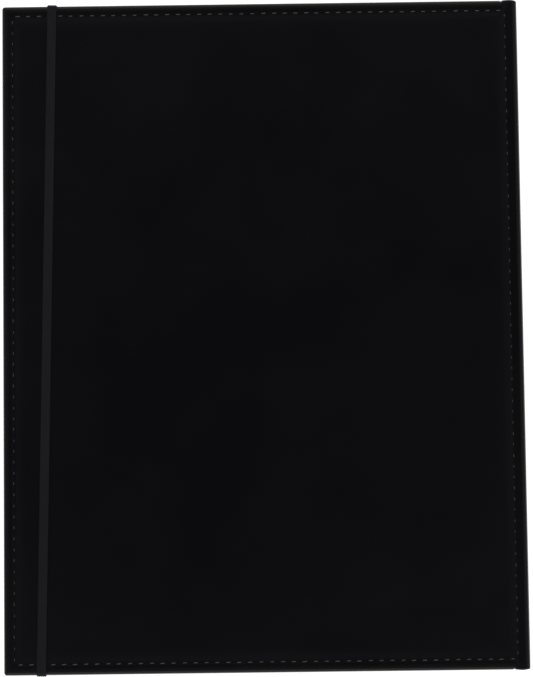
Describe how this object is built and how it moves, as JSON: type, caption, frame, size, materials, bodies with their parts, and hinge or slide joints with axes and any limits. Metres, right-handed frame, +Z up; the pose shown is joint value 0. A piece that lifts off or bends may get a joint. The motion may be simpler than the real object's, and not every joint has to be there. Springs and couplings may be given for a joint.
{
  "type": "music folder",
  "caption": "Black leatherette folder for sheet music: two stiff covers on a narrow spine, an inside pocket in each, and an elastic band over the back cover.",
  "frame": {"origin": "under the middle of the closed folder, on the surface it lies on, measured over the elastic band", "axes": "+Y towards the head of the folder, +X towards the spine, +Z up through the back cover"},
  "size_m": [0.241, 0.3128, 0.0127],
  "materials": {
    "leatherette": "fine grain, satin black",
    "board": "matte grey board",
    "lining": "matte woven black",
    "pocket": "fine grain, low sheen black",
    "thread": "polyester sewing thread, black with a sheen",
    "elastic": "flat woven elastic, ribbed lengthwise"
  },
  "bodies": {
    "front_cover": {"front_cover_leatherette": "leatherette", "front_cover_board": "board", "front_cover_lining": "lining", "front_pocket": "pocket", "front_seam_thread": "thread"},
    "spine": {"spine_leatherette": "leatherette", "spine_board": "board", "spine_lining": "lining"},
    "back_cover": {"back_cover_leatherette": "leatherette", "back_cover_board": "board", "back_cover_lining": "lining", "back_pocket": "pocket", "back_seam_thread": "thread", "elastic_band": "elastic"}
  },
  "joints": [
    {"name": "front_hinge", "type": "hinge", "parent": "front_cover", "child": "spine", "pos_m": [0.1205, 0, 0], "axis": [0, 1, 0], "range_deg": [0, 90]},
    {"name": "back_hinge", "type": "hinge", "parent": "spine", "child": "back_cover", "pos_m": [0.1205, 0, 0.012], "axis": [0, 1, 0], "range_deg": [0, 90]}
  ]
}
